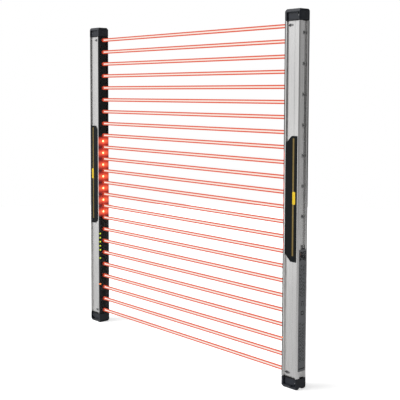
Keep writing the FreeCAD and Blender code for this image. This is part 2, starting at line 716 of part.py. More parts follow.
def placed(shape, column):
    """A piece moved from the column's own frame to its place in the pair."""
    if column == "receiver":
        return shape.translated(point(FIELD_WIDTH / 2, 0))
    return shape.mirror(point(0, 0), BACK).translated(point(-FIELD_WIDTH / 2, 0))


def build():
    pieces = common_pieces()
    for column in ("emitter", "receiver"):
        own = dict(pieces)
        if column == "emitter":
            own["beam_diodes"] = tunnel_end_chips(DIODE_SIZE, DIODE_HEIGHT)
        else:
            own["photodiodes"] = tunnel_end_chips(PHOTODIODE_SIZE, PHOTODIODE_HEIGHT)
            own["rear_label"] = rear_label()
        for name, shape in own.items():
            node = column + "_" + name
            placed(shape, column).exportStep("parts/" + node + ".step")
            print(node, len(shape.Solids), round(shape.Volume, 1), shape.isValid())


os.makedirs("parts", exist_ok=True)
build()
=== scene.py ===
# %% [markdown]
# # A safety light curtain
# Two slim columns stand face to face. One sends a ladder of infrared beams, the other watches
# them, and a machine stops when a hand breaks one. The solids of both columns are already made
# in CAD, so this lesson dresses them: the finishes, the printed fields, the domed screws, the
# lamps, and the red light between the columns. Lengths are in metres, as in the frame.

import json
from math import pi, radians

import bmesh
import bpy
import numpy as np
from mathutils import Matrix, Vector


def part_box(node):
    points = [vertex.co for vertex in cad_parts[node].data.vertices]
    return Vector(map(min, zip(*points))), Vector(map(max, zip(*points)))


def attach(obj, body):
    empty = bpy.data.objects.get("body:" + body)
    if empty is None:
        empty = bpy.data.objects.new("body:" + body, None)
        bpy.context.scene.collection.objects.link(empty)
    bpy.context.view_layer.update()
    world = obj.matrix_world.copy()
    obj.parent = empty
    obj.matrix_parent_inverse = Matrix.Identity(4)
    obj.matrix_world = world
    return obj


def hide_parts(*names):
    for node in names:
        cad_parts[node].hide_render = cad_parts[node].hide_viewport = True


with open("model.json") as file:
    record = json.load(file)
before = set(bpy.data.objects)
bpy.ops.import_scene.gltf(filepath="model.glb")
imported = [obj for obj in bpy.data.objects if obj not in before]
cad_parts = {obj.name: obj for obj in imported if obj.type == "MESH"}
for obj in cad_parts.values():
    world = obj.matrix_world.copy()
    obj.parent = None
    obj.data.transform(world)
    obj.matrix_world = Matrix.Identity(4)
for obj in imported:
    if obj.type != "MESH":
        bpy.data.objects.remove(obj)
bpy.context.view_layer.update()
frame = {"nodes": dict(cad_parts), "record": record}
nodes = frame["nodes"]
MM = 0.001

# %% [markdown]
# ## Measures that many pieces share
# The pitch of the beams decides where marks, lamps and glow go, so it is named once. These
# named sizes are in millimetres and meet MM where they are used. The window faces are read
# from the solids, and every depth into a column is counted from them.

# %% Shared measures
COLUMNS = ("emitter", "receiver")
BEAM_COUNT = 24
BEAM_PITCH = 20.0
LOWEST_BEAM = 21.0
INDICATORS = 7

left_face = float(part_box("emitter_window")[1].x)
right_face = float(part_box("receiver_window")[0].x)
beam_heights = (LOWEST_BEAM + BEAM_PITCH * np.arange(BEAM_COUNT)) * MM
indicator_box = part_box("emitter_indicator_lamps")
lamp_middle = float(indicator_box[0].z + indicator_box[1].z) / 2
lamp_low = lamp_middle - (INDICATORS - 1) / 2 * BEAM_PITCH * MM
lamp_heights = lamp_low + BEAM_PITCH * MM * np.arange(INDICATORS)


def column_x(column, depth):
    """X of a depth behind the window's face of a column."""
    return (right_face + depth) if column == "receiver" else (left_face - depth)


print("beams:", len(beam_heights), "from", round(left_face, 4), "to", round(right_face, 4))
print("indicators at", np.round(lamp_heights, 3))

# %% [markdown]
# ## Camera
# A long column shows its true proportions only from the right distance, because perspective
# makes its far end smaller. So the camera comes first. Its lens is a choice. Its place and its
# turn were then solved from the heights of the beams and the edges of the columns. It looks
# down a little, and a lens shift does the rest of the framing, so that the upright columns stay
# nearly parallel.

# %% Camera
camera_data = bpy.data.cameras.new("camera")
camera_data.sensor_width = 36.0
camera_data.lens = 77.4
camera_data.shift_x = 0.104
camera_data.shift_y = -0.125
camera = bpy.data.objects.new("camera", camera_data)
camera.location = (0.9706, -0.8615, 0.3946)
camera.rotation_euler = (radians(90 - 3.876), 0.0, radians(50.182))
bpy.context.scene.collection.objects.link(camera)
bpy.context.scene.camera = camera
bpy.context.scene.view_settings.view_transform = "Standard"
print("lens:", camera_data.lens)

# %% [markdown]
# ## Nodes in one line each
# A material is a small network. Two helpers keep each recipe readable: one fills sockets, by
# storing a value or by linking another node's output, and one adds a node and fills it. A
# socket is called by its name, or by its number where a node has two of the same name.

# %% Node helpers
def feed(tree, node, sockets):
    """Fill sockets by name or number: an output of another node is linked, a value is stored."""
    for socket, value in sockets.items():
        if isinstance(value, bpy.types.NodeSocket):
            tree.links.new(value, node.inputs[socket])
        else:
            node.inputs[socket].default_value = value
    return node


def add(tree, kind, sockets=None, **settings):
    """A node of a kind, with its settings made first and its sockets filled after."""
    node = tree.nodes.new("ShaderNode" + kind)
    for setting, value in settings.items():
        setattr(node, setting, value)
    return feed(tree, node, sockets or {})


def calc(tree, operation, *values):
    """The output of a Math node that works on values or on other nodes' outputs."""
    return add(tree, "Math", dict(enumerate(values)), operation=operation).outputs[0]


def span(tree, value, low, high, start=0.0, end=1.0):
    """Low to high stretched onto start to end, and held at the ends beyond."""
    return add(tree, "MapRange", {"Value": value, "From Min": low, "From Max": high,
                                  "To Min": start, "To Max": end}).outputs["Result"]


def empty_material(name):
    """A material and its node tree, with nothing in it yet."""
    material = bpy.data.materials.new(name)
    material.use_nodes = True
    material.node_tree.nodes.clear()
    return material, material.node_tree


def new_material(name):
    """A material with a Principled shader wired to its output."""
    material, tree = empty_material(name)
    shader = add(tree, "BsdfPrincipled")
    add(tree, "OutputMaterial", {"Surface": shader.outputs["BSDF"]})
    return material, tree, shader


print("node helpers:", [helper.__name__ for helper in (feed, add, calc, span)])

# %% [markdown]
# ## Patterns from noise
# Real surfaces are never quite even. Every pattern here starts from noise on Object
# coordinates, which are metres on the piece itself, so the grain has a true size and no image
# is needed. The same noise can drive a colour, a roughness and a bump.

# %% Pattern helpers
NOISE_LOW, NOISE_HIGH = 0.3, 0.7


def object_place(tree):
    """The output that gives each point's place in its object's own space."""
    return add(tree, "TexCoord").outputs["Object"]


def stretched_noise(tree, scale, detail=3.0):
    """Noise on Object coordinates, scaled by its own amount along each axis."""
    mapping = add(tree, "Mapping", {"Vector": object_place(tree), "Scale": scale})
    noise = add(tree, "TexNoise", {"Vector": mapping.outputs["Vector"], "Scale": 1.0,
                                   "Detail": detail, "Roughness": 0.55})
    return noise.outputs["Fac"]


def ramp(tree, factor, stops):
    """A colour ramp from (position, colour) stops."""
    node = add(tree, "ValToRGB", {"Fac": factor})
    elements = node.color_ramp.elements
    while len(elements) < len(stops):
        elements.new(0.5)
    for element, (position, colour) in zip(elements, stops):
        element.position = position
        element.color = (*colour, 1.0)
    return node.outputs["Color"]


def two_tone(tree, factor, colour, change, low=NOISE_LOW, high=NOISE_HIGH):
    """From colour (1 - change) to colour (1 + change), as the factor goes from low to high."""
    dark, light = [tuple(channel * (1 + sign * change) for channel in colour)
                   for sign in (-1, 1)]
    return ramp(tree, factor, [(low, dark), (high, light)])


def spread(tree, noise, low, high):
    """Noise, which seldom leaves its usual range, stretched onto low to high."""
    return span(tree, noise, NOISE_LOW, NOISE_HIGH, low, high)


def bump(tree, height, strength, distance):
    """A normal tilted by a height, where distance is the relief in metres."""
    return add(tree, "Bump", {"Height": height, "Strength": strength,
                              "Distance": distance}).outputs["Normal"]


print("noise is used from", NOISE_LOW, "to", NOISE_HIGH)

# %% [markdown]
# ## Satin aluminium
# The housing is an extrusion: the die leaves fine lines along its length, and anodising turns
# the shine into a soft grey sheen. Noise squeezed across the column and drawn out along it
# gives those lines, and drives the shade, the roughness and a shallow bump together. The
# screws and the pins take the same recipe with an even grain.

# %% Satin aluminium
def satin_metal(name, colour, roughness, across=2600.0, along=6.0):
    """Brushed metal: shade and roughness follow 0.6 of the lines plus 0.4 of soft clouds."""
    material, tree, shader = new_material(name)
    lines = stretched_noise(tree, (across, across, along), detail=4.0)
    clouds = stretched_noise(tree, (40.0, 40.0, 9.0), detail=2.0)
    mixed = calc(tree, "MULTIPLY_ADD", lines, 0.6, calc(tree, "MULTIPLY", clouds, 0.4))
    feed(tree, shader, {
        "Base Color": two_tone(tree, mixed, colour, change=0.06, low=0.35, high=0.65),
        "Roughness": spread(tree, mixed, roughness - 0.05, roughness + 0.06),
        "Metallic": 1.0,
        "Normal": bump(tree, lines, strength=0.5, distance=1.2e-6)})
    return material


FINISHES = {
    "satin_aluminium": satin_metal("satin_aluminium", (0.67, 0.665, 0.66), 0.26),
    "screw_steel": satin_metal("screw_steel", (0.26, 0.26, 0.26), 0.30, across=900.0, along=900.0),
    "pin_gold": satin_metal("pin_gold", (0.80, 0.58, 0.22), 0.25, across=900.0, along=300.0),
}
bright_steel = satin_metal("bright_steel", (0.30, 0.30, 0.30), 0.24, across=900.0, along=900.0)
print("metals:", sorted(FINISHES), bright_steel.name)

# %% [markdown]
# ## Moulded and painted finishes
# The end caps, the boards' parts and the plates are all nearly black, and only their surface
# tells them apart: a spark-eroded mould leaves a fine grain, paint leaves a faint orange peel,
# rubber is dull. One recipe makes them all, with its grain, its relief and its gloss as values.

# %% Moulded and painted finishes
def moulded(name, colour, roughness, grain=2200.0, relief=1.2e-5, specular=0.5):
    """Plastic or paint: a fine grain in gloss and bump, and clouds 10 % up and down in shade."""
    material, tree, shader = new_material(name)
    fine = stretched_noise(tree, (grain, grain, grain))
    clouds = stretched_noise(tree, (60.0, 60.0, 25.0))
    feed(tree, shader, {
        "Base Color": two_tone(tree, clouds, colour, change=0.10),
        "Roughness": spread(tree, fine, roughness - 0.07, roughness + 0.07),
        "Specular IOR Level": specular,
        "Normal": bump(tree, fine, strength=0.6, distance=relief)})
    return material


for name, colour, roughness, options in (
        ("cap_plastic", (0.015, 0.018, 0.025), 0.46, {"specular": 0.35}),
        ("seal_rubber", (0.008, 0.008, 0.009), 0.75, {"grain": 1500.0, "specular": 0.2}),
        ("plate_black", (0.006, 0.008, 0.009), 0.45,
         {"grain": 900.0, "relief": 4e-6, "specular": 0.09}),
        ("mask_black", (0.006, 0.006, 0.006), 0.6, {"specular": 0.3}),
        ("optics_black", (0.008, 0.008, 0.009), 0.6, {"specular": 0.3}),
        ("carrier_grey", (0.16, 0.16, 0.17), 0.5, {"grain": 1400.0}),
        ("part_black", (0.015, 0.015, 0.016), 0.5, {"grain": 1800.0, "specular": 0.4}),
        ("ribbon_grey", (0.33, 0.33, 0.34), 0.55, {"grain": 1200.0}),
        ("lamp_dark", (0.020, 0.020, 0.020), 0.2, {"relief": 2e-6}),
        ("label_grey", (0.185, 0.190, 0.198), 0.45,
         {"grain": 700.0, "relief": 3e-6, "specular": 0.3}),
        ("diode_dark", (0.035, 0.020, 0.045), 0.18, {"relief": 2e-6})):
    FINISHES[name] = moulded(name, colour, roughness, **options)
print("finishes so far:", len(FINISHES))

# %% [markdown]
# ## Circuit boards
# Solder mask is a thin gloss lacquer over copper tracks, which show through as slightly
# raised, lighter lines. A brick pattern with very long bricks is a cheap stand-in for tracks.

# %% Circuit boards
def solder_mask(name, colour):
    """Lacquer in long bricks: every other one 0.8 of the colour, the tracks between them 1.7."""
    material, tree, shader = new_material(name)
    turn = add(tree, "Mapping", {"Vector": object_place(tree),
                                 "Rotation": (pi / 2, 0.0, pi / 2),
                                 "Scale": (420.0, 420.0, 60.0)})
    tracks = add(tree, "TexBrick", {
        "Vector": turn.outputs["Vector"], "Scale": 1.0,
        "Mortar Size": 0.12, "Brick Width": 6.0, "Row Height": 0.9,
        "Color1": (*colour, 1.0),
        "Color2": (*[channel * 0.8 for channel in colour], 1.0),
        "Mortar": (*[channel * 1.7 for channel in colour], 1.0)})
    feed(tree, shader, {"Base Color": tracks.outputs["Color"], "Roughness": 0.3,
                        "Normal": bump(tree, tracks.outputs["Fac"], strength=0.4,
                                       distance=2e-5)})
    return material


FINISHES["board_green"] = solder_mask("board_green", (0.015, 0.11, 0.045))
print("board finish:", FINISHES["board_green"].name)

# %% [markdown]
# ## Clear and tinted plastics
# The front panel is a tinted acrylic that lets infrared and deep red through and looks nearly
# black otherwise. It is a coloured glass with a polished face. Only its middle band is clear,
# and the rims beside it are printed dark.

# %% Clear and tinted plastics
def clear_plastic(name, colour, roughness, ior):
    """Coloured glass with a slight ripple in its shade, 8 % up and down, and in its face."""
    material, tree, shader = new_material(name)
    ripple = stretched_noise(tree, (180.0, 180.0, 30.0), detail=2.0)
    feed(tree, shader, {
        "Base Color": two_tone(tree, ripple, colour, change=0.08),
        "Roughness": roughness, "Transmission Weight": 1.0, "IOR": ior,
        "Normal": bump(tree, ripple, strength=0.3, distance=1e-5)})
    return material, tree, shader


def object_axes(tree):
    """A node whose outputs X, Y and Z are the point's place in its object's own space."""
    return add(tree, "SeparateXYZ", {"Vector": object_place(tree)})


def clear_only_between(tree, shader, half, rim):
    """Clear where the distance |y| from the middle is under half, and rim-coloured beyond."""
    away = calc(tree, "ABSOLUTE", object_axes(tree).outputs["Y"])
    clear = span(tree, away, half + 0.2 * MM, half)
    tinted = shader.inputs["Base Color"].links[0].from_socket
    choice = add(tree, "Mix", {0: clear, 6: (*rim, 1.0), 7: tinted}, data_type="RGBA")
    feed(tree, shader, {"Transmission Weight": clear, "Base Color": choice.outputs[2]})


CLEAR_HALF = 5.8
FINISHES["lens_clear"], _, _ = clear_plastic("lens_clear", (0.80, 0.84, 0.86),
                                             roughness=0.06, ior=1.49)
FINISHES["dark_window"], window_tree, window_shader = clear_plastic(
    "dark_window", (0.50, 0.07, 0.05), roughness=0.05, ior=1.35)
clear_only_between(window_tree, window_shader, CLEAR_HALF * MM, (0.006, 0.006, 0.008))
print("clear band, mm:", 2 * CLEAR_HALF)

# %% [markdown]
# ## Painted lamp light in the window
# The light of the seven red lamps behind the window is painted on it: the window's own material
# glows in a round pool of painted red light at each lamp. One pool is described, and the height
# is folded so that it repeats at every pitch.

# %% Glow in the window
POOL_RADIUS = 14.0
LIP = 3.0
FADE = 4.0
PAINTED_GLOW = [(0.0, (0.0, 0.0, 0.0)), (0.15, (0.04, 0.002, 0.002)), (0.30, (0.11, 0.008, 0.008)),
        (0.52, (0.32, 0.020, 0.014)), (0.70, (0.68, 0.075, 0.035)),
        (0.86, (0.95, 0.16, 0.07)), (1.0, (1.0, 0.45, 0.20))]


def paint_lamp_glow(tree, shader, lowest, pitch, count, radius, lip):
    """Painted lamp light: emission in a pool at each lamp, and the height is folded onto one
    lamp's cell.

    The height is wrapped to one pitch round the lowest lamp, so every lamp has the same cell,
    and the distance across is held at the lip's, so that the painted light also lies on the
    panel's edges. The pool is 1 - distance / radius. A second range along z switches the pools off
    above the last lamp and below the first.
    """
    axes = object_axes(tree)
    cell = calc(tree, "WRAP", axes.outputs["Z"], lowest + pitch / 2, lowest - pitch / 2)
    across = calc(tree, "MINIMUM", calc(tree, "ABSOLUTE", axes.outputs["Y"]), lip)
    spot = add(tree, "CombineXYZ", {"Y": across, "Z": calc(tree, "SUBTRACT", cell, lowest)})
    size = add(tree, "Mapping", {"Vector": spot.outputs[0], "Scale": (1 / radius,) * 3})
    pool = add(tree, "TexGradient", {"Vector": size.outputs[0]}, gradient_type="SPHERICAL")
    middle = lowest + pitch * (count - 1) / 2
    away = calc(tree, "ABSOLUTE", calc(tree, "SUBTRACT", axes.outputs["Z"], middle))
    reach = pitch * count / 2
    inside = span(tree, away, reach, reach - FADE * MM)
    level = calc(tree, "MULTIPLY", pool.outputs["Fac"], inside)
    feed(tree, shader, {"Emission Color": ramp(tree, level, PAINTED_GLOW), "Emission Strength": 1.0})


# Painted red lamp light in the window finish, a pool at each lamp height.
paint_lamp_glow(window_tree, window_shader, lamp_low, BEAM_PITCH * MM, INDICATORS,
               POOL_RADIUS * MM, LIP * MM)
print("lowest pool at", round(lamp_low, 4))

# %% [markdown]
# ## Lamps
# A lit lamp is a small block of tinted plastic with light behind it. Emission on its surface
# is enough, and a slightly uneven strength keeps it from looking like a sticker. The green
# lamps of the receiver are off, so they get a finish of the same plastic with hardly any light.

# %% Lamps
def lit(name, colour, glow, strength):
    """Plastic that shines, with its light 12 % up and down in a fine noise."""
    material, tree, shader = new_material(name)
    uneven = stretched_noise(tree, (900.0, 900.0, 900.0), detail=1.0)
    feed(tree, shader, {
        "Emission Color": two_tone(tree, uneven, glow, change=0.12),
        "Emission Strength": strength,
        "Base Color": (*colour, 1.0), "Roughness": 0.3})
    return material


FINISHES["lamp_red"] = lit("lamp_red", (0.6, 0.05, 0.03), (1.0, 0.10, 0.05), 2.0)
FINISHES["lamp_green"] = lit("lamp_green", (0.02, 0.03, 0.01), (0.45, 0.56, 0.02), 0.9)
FINISHES["lamp_amber"] = lit("lamp_amber", (0.6, 0.2, 0.02), (1.0, 0.18, 0.02), 1.3)
green_off = lit("green_off", (0.02, 0.03, 0.01), (0.42, 0.80, 0.03), 0.02)
print("finishes in all:", len(FINISHES))

# %% [markdown]
# ## Every node gets its finish
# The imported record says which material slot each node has. Going through it once means that
# no solid is forgotten, even those that only show when a cap is off.

# %% Give the nodes their finishes
slot_of = {part["node"]: part["material_slot"] for part in frame["record"]["subparts"]}
for node_name, node in nodes.items():
    node.data.materials.clear()
    unlit = node_name.startswith("receiver") and slot_of[node_name] == "lamp_green"
    node.data.materials.append(green_off if unlit else FINISHES[slot_of[node_name]])
print("finishes used:", sorted(set(slot_of.values())))

# %% [markdown]
# ## Surfaces from grids
# The new pieces are grids of points: two parameters in, a point in space out, worked out for
# the whole grid at once. Every grid here is a closed ring round its first parameter, and many
# pieces are copies of one grid. One helper turns all the copies into a mesh, merges the points
# that share a place, which closes the ends, and turns the faces outwards.

# %% Grid to mesh
MERGE = 0.001
SHARP_ANGLE = 40
END_SHARES = np.array([0.0, 1.0, 1.0, 0.0])


def grid_object(name, points, material, smooth=True, closed=True):
    """An object at the origin, from points[copy, row, column], joined round the rows."""
    index = np.arange(np.prod(points.shape[:3])).reshape(points.shape[:3])
    index = np.concatenate([index, index[:, :1]], axis=1)
    faces = np.stack([index[:, :-1, :-1], index[:, 1:, :-1], index[:, 1:, 1:],
                      index[:, :-1, 1:]], axis=-1).reshape(-1, 4)
    mesh = bpy.data.meshes.new(name)
    mesh.from_pydata(points.reshape(-1, 3).tolist(), [], faces.tolist())
    shape = bmesh.new()
    shape.from_mesh(mesh)
    bmesh.ops.remove_doubles(shape, verts=shape.verts, dist=MERGE * MM)
    if closed:
        bmesh.ops.recalc_face_normals(shape, faces=shape.faces)
    shape.to_mesh(mesh)
    shape.free()
    mesh.polygons.foreach_set("use_smooth", np.full(len(mesh.polygons), smooth))
    mesh.set_sharp_from_angle(angle=radians(SHARP_ANGLE))
    mesh.materials.append(material)
    made = bpy.data.objects.new(name, mesh)
    bpy.context.scene.collection.objects.link(made)
    return made


print("shares that close both ends:", END_SHARES)

# %% [markdown]
# ## Beams
# Infrared can't be seen, so pictures of light curtains draw the beams: two thin red strokes
# with a pale core. They are light and not a part, so they are stage. Each beam is three closed
# tubes, one above another, so that both strokes show from every side, and a small disc of
# painted red glow marks where it leaves the emitter.

# %% Beams
TUBE_SIDES = 12
STROKE_RISE = 1.9


def beam_tubes(radius, rises, start, end):
    """Closed tubes along x: y = r s cos a, z = height + rise + r s sin a.

    The share s is 0 at the first and the last station, which closes both ends.
    """
    angle = np.linspace(0, 2 * pi, TUBE_SIDES, endpoint=False)
    a, x = np.meshgrid(angle, [start, start, end, end], indexing="ij")
    across = radius * END_SHARES
    height = np.add.outer(beam_heights, np.array(rises)).reshape(-1, 1, 1)
    z = height + across * np.sin(a)
    return np.stack(np.broadcast_arrays(x, across * np.cos(a), z), axis=-1)


def beam_light(name, colour):
    """Light for the camera only: every other ray passes through."""
    material, tree = empty_material(name)
    glow = add(tree, "Emission", {"Color": (*colour, 1.0), "Strength": 1.0})
    clear = add(tree, "BsdfTransparent")
    mix = add(tree, "MixShader", {0: add(tree, "LightPath").outputs["Is Camera Ray"],
                                  1: clear.outputs[0], 2: glow.outputs[0]})
    add(tree, "OutputMaterial", {"Surface": mix.outputs[0]})
    return material


for name, radius, rises, begin, end, colour in (
        ("beam_cores", 1.1, [0.0], 1.5, right_face, (1.0, 0.86, 0.79)),
        ("beam_strokes", 0.98, [-STROKE_RISE * MM, STROKE_RISE * MM], -1.2, right_face,
         (0.78, 0.13, 0.07)),
        # the exit disc is painted red glow behind the emitter's window
        ("beam_exit_glows", 2.9, [0.0], -1.5, left_face - 0.4 * MM, (0.50, 0.045, 0.018))):
    points = beam_tubes(radius * MM, rises, left_face + begin * MM, end)
    grid_object(name, points, beam_light(name, colour))
    print(name, "tubes:", len(points))

# %% [markdown]
# ## Domed screws of the rear groove
# The CAD screws are plain prisms. A real low-head screw has a shallow dome and a cross recess.
# One polar grid makes it all: from the shank's tip along the shank, out under the head, up its
# rim and over the dome, where a cross-shaped pit with sloping walls is taken off the height.

# %% Rear screws
HEAD_RADIUS, HEAD_HEIGHT = 2.5, 1.4
SHANK_RADIUS, SHANK_LENGTH = 1.25, 3.2
RIM_SHARE = 0.62
SCREW_SIDES = 32
DOME_STATIONS = 12
ARM_HALF, ARM_REACH = (0.09, 0.17), (0.42, 0.62)
SCREW_COUNT, LOWEST_SCREW, SCREW_PITCH = 12, 31.0, 40.0
FIRST_TURN, NEXT_TURN = 0.7, 1.9
GROOVE_DEPTH = 2.2


def smooth_step(value, low, high):
    """0 up to low, 1 from high on, and t t (3 - 2 t) between them."""
    t = np.clip((value - low) / (high - low), 0.0, 1.0)
    return t * t * (3 - 2 * t)


def domed_screw(radius, height, shank, length):
    """Polar grid of stations, each a share r of the radius and a height along the axis.

    Over the head the height is h (0.62 + 0.38 (1 - r^2)) - 0.62 h pit. The pit is 1 where the
    smaller of |x| and |y| is near 0 and the larger is inside the arms, with smooth sides.
    """
    over = np.linspace(1.0, 0.0, DOME_STATIONS)
    below = [0.0, shank / radius, shank / radius, 1.0]
    share = np.concatenate([below, over])
    dome = height * (RIM_SHARE + (1 - RIM_SHARE) * (1 - over ** 2))
    along = np.concatenate([[-length, -length, 0.0, 0.0], dome])
    angle = np.linspace(0, 2 * pi, SCREW_SIDES, endpoint=False)
    a, r = np.meshgrid(angle, share, indexing="ij")
    x, y = r * np.cos(a), r * np.sin(a)
    narrow, wide = np.minimum(abs(x), abs(y)), np.maximum(abs(x), abs(y))
    pit = (1 - smooth_step(narrow, *ARM_HALF)) * (1 - smooth_step(wide, *ARM_REACH))
    pit[:, :len(below)] = 0.0
    return np.stack([x * radius, y * radius, along - RIM_SHARE * height * pit], axis=-1)


def rear_screws(column):
    """Each screw's own z becomes the column's outward x, and each is turned a bit further."""
    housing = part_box(column + "_housing")
    sign = -1.0 if column == "emitter" else 1.0
    groove = float(housing[0].x if sign < 0 else housing[1].x) - sign * GROOVE_DEPTH * MM
    screw = domed_screw(HEAD_RADIUS * MM, HEAD_HEIGHT * MM, SHANK_RADIUS * MM,
                        SHANK_LENGTH * MM)
    place = np.arange(SCREW_COUNT)[:, None, None]
    turn = FIRST_TURN + NEXT_TURN * place
    y = screw[..., 0] * np.cos(turn) - screw[..., 1] * np.sin(turn)
    z = screw[..., 0] * np.sin(turn) + screw[..., 1] * np.cos(turn)
    z = z + (LOWEST_SCREW + SCREW_PITCH * place) * MM
    points = np.stack(np.broadcast_arrays(groove + sign * screw[..., 2], y, z), axis=-1)
    made = grid_object(column + "_domed_screws", points, bright_steel)
    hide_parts(column + "_rear_screws")
    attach(made, "root")
    return made


for column in COLUMNS:
    print(rear_screws(column).name)

# %% [markdown]
# ## Lamp lenses
# Two kinds of lamp show on the window. The red ones shine from diffusers in the openings of the
# mask, so they are seen through the tinted band. The status lamps have their own small lenses
# on the window's near lip. Both are shallow domes: a grid over a rectangle whose height falls
# off towards its rim.

# %% Lamp lenses
LENS_POINTS = 7
LENS_POWER = 4
RIM_LIFT = 0.3
LOWEST_GREEN, GREEN_PITCH = 111.8, 7.0
# Depth behind the window's face, y, and half width, half height and dome of one lens.
DIFFUSER = {"depth": 3.3, "y": 0.0, "size": (1.5, 1.5, 0.15)}
STATUS = {"depth": 0.0, "y": -8.5, "size": (1.3, 1.1, 0.06)}


def pillow(half_y, half_z, height):
    """A closed low dome: h (1 - |a|^4)(1 - |b|^4), plus 0.3 h inside the rim, and a flat back.

    The columns of the grid go over the face and return along the back, where the height is 0.
    """
    a = np.linspace(-1, 1, LENS_POINTS)
    u, v = np.meshgrid(a, np.concatenate([a, a[::-1][1:-1]]), indexing="ij")
    front = np.concatenate([np.ones(LENS_POINTS), np.zeros(LENS_POINTS - 2)])
    lift = height * (1 - abs(u) ** LENS_POWER) * (1 - abs(v) ** LENS_POWER) * front
    lift = lift + RIM_LIFT * height * front * (abs(u) < 1) * (abs(v) < 1)
    return np.stack([u * half_y, v * half_z, lift], axis=-1).transpose(1, 0, 2)


def lenses(name, column, heights, material, slot, depth, y, size):
    """One lens for each height, facing out of the window."""
    sign = -1.0 if column == "receiver" else 1.0
    patch = pillow(*(length * MM for length in size))
    x = column_x(column, depth * MM) + sign * patch[..., 2]
    z = patch[..., 1] + np.array(heights)[:, None, None]
    points = np.stack(np.broadcast_arrays(x, y * MM + patch[..., 0], z), axis=-1)
    made = grid_object(name, points, material)
    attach(made, "root")
    return made


hot_red = lit("hot_red", (0.8, 0.1, 0.05), (1.0, 0.85, 0.50), 30.0)
lens_green = lit("lens_green", (0.3, 0.4, 0.02), (0.62, 0.72, 0.02), 1.0)
lens_amber = lit("lens_amber", (0.6, 0.2, 0.02), (1.0, 0.20, 0.03), 1.4)
green_heights = (LOWEST_GREEN + GREEN_PITCH * np.array([0, 2, 3, 4, 5, 6])) * MM
amber_heights = np.array([67.0]) * MM
dark_heights = np.array([97.8, 160.8, 37.5]) * MM
for column in COLUMNS:
    green = lens_green if column == "emitter" else green_off
    for kind, heights, finish, slot, seat in (
            ("indicator_diffusers", lamp_heights, hot_red, "lamp_red", DIFFUSER),
            ("green_lenses", green_heights, green, "lamp_green", STATUS),
            ("amber_lenses", amber_heights, lens_amber, "lamp_amber", STATUS),
            ("unlit_lenses", dark_heights, FINISHES["lamp_dark"], "lamp_dark", STATUS)):
        print(lenses(column + "_" + kind, column, heights, finish, slot, **seat).name)

# %% [markdown]
# ## Plate stripe and bar
# The black side plate carries a dull yellow stripe and a short bright bar. They are inlays, a
# few hundredths of a millimetre proud, so each is a thin closed slab on the plate's face.

# %% Plate inlays
def inlays(name, outlines, y, thickness, material):
    """Thin closed slabs in one mesh, one for each outline of corners in x and z.

    Across each slab go four stations: the middle of its face, the face's rim, the back's rim
    and the middle of the back. Point = middle + share * (corner - middle), so the two middles
    close the slab.
    """
    corners = np.array(outlines)
    middle = corners.mean(axis=1, keepdims=True)
    flat = middle[:, :, None] + END_SHARES[:, None] * (corners - middle)[:, :, None]
    depth = y - thickness * np.array([1.0, 1.0, 0.0, 0.0])
    points = np.stack(np.broadcast_arrays(flat[..., 0], depth, flat[..., 1]), axis=-1)
    made = grid_object(name, points, material, smooth=False)
    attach(made, "root")
    return made


def cut_corners(x0, x1, z0, z1, cut):
    """A rectangle's outline with its four corners cut off."""
    step = cut if x1 > x0 else -cut
    return [(x0 + step, z0), (x1 - step, z0), (x1, z0 + cut), (x1, z1 - cut),
            (x1 - step, z1), (x0 + step, z1), (x0, z1 - cut), (x0, z0 + cut)]


PLATE_FRONT = 3.8
dull_yellow = moulded("dull_yellow", (0.19, 0.125, 0.020), 0.45, grain=900.0, relief=3e-6)
bright_yellow = moulded("bright_yellow", (0.78, 0.52, 0.0), 0.45, grain=900.0, relief=3e-6)
plate_face = float(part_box("receiver_side_plate")[0].y)
# Depths behind the plate's front edge, low and high end, thickness and cut corner, in mm.
for column in COLUMNS:
    for piece, near, far, low, high, lift, corner, finish in (
            ("plate_stripe", 12.2, 14.7, 179.0, 334.0, 0.04, 0.3, dull_yellow),
            ("plate_bar", 12.3, 17.1, 247.0, 264.0, 0.07, 1.0, bright_yellow)):
        x0, x1 = (column_x(column, (PLATE_FRONT + d) * MM) for d in (near, far))
        outline = cut_corners(x0, x1, low * MM, high * MM, corner * MM)
        inlays(column + "_" + piece, [outline], plate_face, lift * MM, finish)
print("plate face at y", plate_face)

# %% [markdown]
# ## Beam marks
# A small printed arrow in the side channel shows the height of the first and the last beam,
# so a fitter can set the column by them. An arrowhead points at the window, and bars of
# shrinking height trail behind it. The arrowhead repeats its tip as a fourth corner, so that
# every outline has four.

# %% Beam marks
CHANNEL_Y = -8.0
INK_THICKNESS = 0.03
ARROW_TIP, ARROW_ROOT, ARROW_HALF = 4.3, 7.2, 2.0
# Near and far depth behind the window's face and half height of each bar, in mm.
BARS = ((7.5, 9.6, 2.0), (10.2, 11.6, 1.6), (12.3, 13.2, 1.1))
ink = moulded("ink", (0.012, 0.013, 0.016), 0.5, grain=900.0, relief=2e-6, specular=0.2)
for column in COLUMNS:
    outlines = []
    for z in (beam_heights[0], beam_heights[-1]):
        tip, root = (column_x(column, u * MM) for u in (ARROW_TIP, ARROW_ROOT))
        rise = ARROW_HALF * MM
        outlines.append([(tip, z), (root, z - rise), (root, z + rise), (tip, z)])
        for near, far, half in BARS:
            x0, x1 = (column_x(column, u * MM) for u in (near, far))
            low, high = z - half * MM, z + half * MM
            outlines.append([(x0, low), (x1, low), (x1, high), (x0, high)])
    inlays(column + "_beam_marks", outlines, CHANNEL_Y * MM, INK_THICKNESS * MM, ink)
    print(column, "marks:", len(outlines))

# %% [markdown]
# ## Fields on the label
# The label carries a square code field and rows of fine print. From any distance they read as
# dark dashes, so each is a thin slab bent over the crowned rear face: the crown's outline gives
# x for each y. No words are written, only dashes of uneven length.

# %% Slabs on the crown
CROWN_FLAT, CROWN_RADIUS, CROWN_CENTRE = 5.0, 10.357, 16.043
INK_LOW, INK_HIGH = 0.19, 0.225
FACE_POINTS = 5


